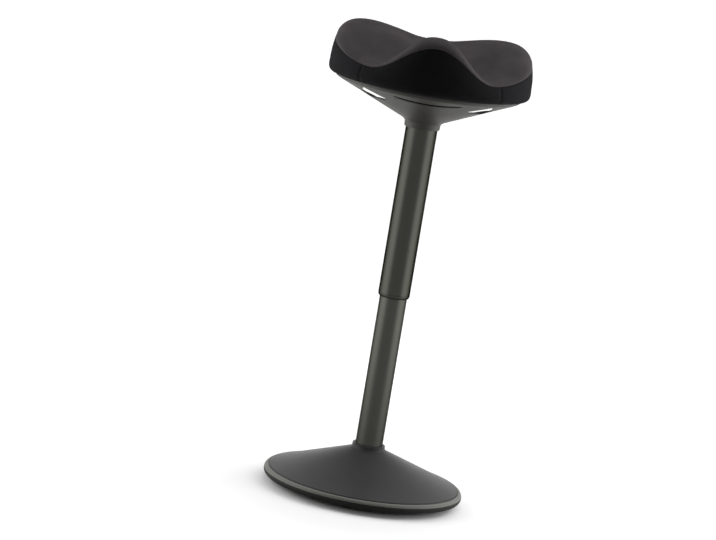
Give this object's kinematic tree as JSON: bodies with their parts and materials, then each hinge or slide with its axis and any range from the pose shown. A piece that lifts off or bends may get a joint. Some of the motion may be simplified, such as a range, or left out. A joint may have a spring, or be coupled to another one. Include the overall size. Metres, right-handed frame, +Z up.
{
  "type": "balance stool",
  "caption": "Saddle-shaped upholstered seat on a telescopic gas column that swivels on a weighted round base with a rocking sole.",
  "frame": {"origin": "centre of the rocking sole, on the floor, when the stool stands upright", "axes": "+Z up the column, -Y towards the front of the seat where the pommel and the release are"},
  "size_m": [0.37, 0.366, 0.8635],
  "materials": {
    "cover_cloth": "matt charcoal knit",
    "seat_foam": "cut foam",
    "seat_board": "raw plywood",
    "shell_plastic": "fine moulded grain",
    "base_plastic": "fine moulded grain",
    "rim_rubber": "matt",
    "sole_rubber": "matt",
    "tube_paint": "satin powder coat",
    "bright_steel": "zinc plated",
    "cast_iron": "as cast",
    "acetal": "machined"
  },
  "bodies": {
    "base": {"rocker_sole": "sole_rubber", "base_pan": "base_plastic", "ballast_plate": "cast_iron", "column_hub": "bright_steel", "hub_bolt_1": "bright_steel", "hub_bolt_2": "bright_steel", "hub_bolt_3": "bright_steel", "hub_bolt_4": "bright_steel", "base_cover": "base_plastic", "cover_screw_1": "bright_steel", "cover_screw_2": "bright_steel", "cover_screw_3": "bright_steel", "cover_screw_4": "bright_steel", "rim_ring": "rim_rubber", "lower_tube": "tube_paint", "guide_bush": "acetal", "column_end_plate": "bright_steel", "bearing_lower_race": "bright_steel", "bearing_cage": "acetal"},
    "rod": {"bearing_upper_race": "bright_steel", "bump_washer": "sole_rubber", "rod_clip": "bright_steel", "piston_rod": "bright_steel", "piston": "acetal"},
    "seat": {"gas_cylinder": "bright_steel", "cylinder_gland": "acetal", "upper_tube": "tube_paint", "sleeve_glide": "shell_plastic", "sleeve_cap": "acetal", "taper_socket": "bright_steel", "seat_plate": "bright_steel", "plate_bolt_1": "bright_steel", "plate_bolt_2": "bright_steel", "plate_bolt_3": "bright_steel", "plate_bolt_4": "bright_steel", "t_nut_1": "bright_steel", "t_nut_2": "bright_steel", "t_nut_3": "bright_steel", "t_nut_4": "bright_steel", "lever_bracket": "bright_steel", "pivot_pin": "bright_steel", "seat_shell": "shell_plastic", "shell_screw_1": "bright_steel", "shell_screw_2": "bright_steel", "shell_screw_3": "bright_steel", "shell_screw_4": "bright_steel", "seat_board": "seat_board", "seat_foam": "seat_foam", "cover_side_band": "cover_cloth", "cover_top_panel": "cover_cloth"},
    "paddle": {"release_paddle": "shell_plastic"},
    "valve": {"valve_pin": "bright_steel"}
  },
  "joints": [
    {"name": "seat_swivel", "type": "hinge", "parent": "base", "child": "rod", "pos_m": [0, 0, 0], "axis": [0, 0, 1], "continuous": true},
    {"name": "seat_height", "type": "slide", "parent": "rod", "child": "seat", "axis": [0, 0, 1], "range_m": [-0.25, 0]},
    {"name": "paddle_squeeze", "type": "hinge", "parent": "seat", "child": "paddle", "pos_m": [0, -0.028, 0.7526], "axis": [-1, 0, 0], "range_deg": [0, 6], "stiffness_Nm_per_rad": 8, "springref_deg": -5.73},
    {"name": "valve_travel", "type": "slide", "parent": "seat", "child": "valve", "axis": [0, 0, -1], "range_m": [0, 0.003]}
  ],
  "couplings": [
    {"joint": "valve_travel", "follows": "paddle_squeeze", "m_per_rad": 0.028}
  ]
}
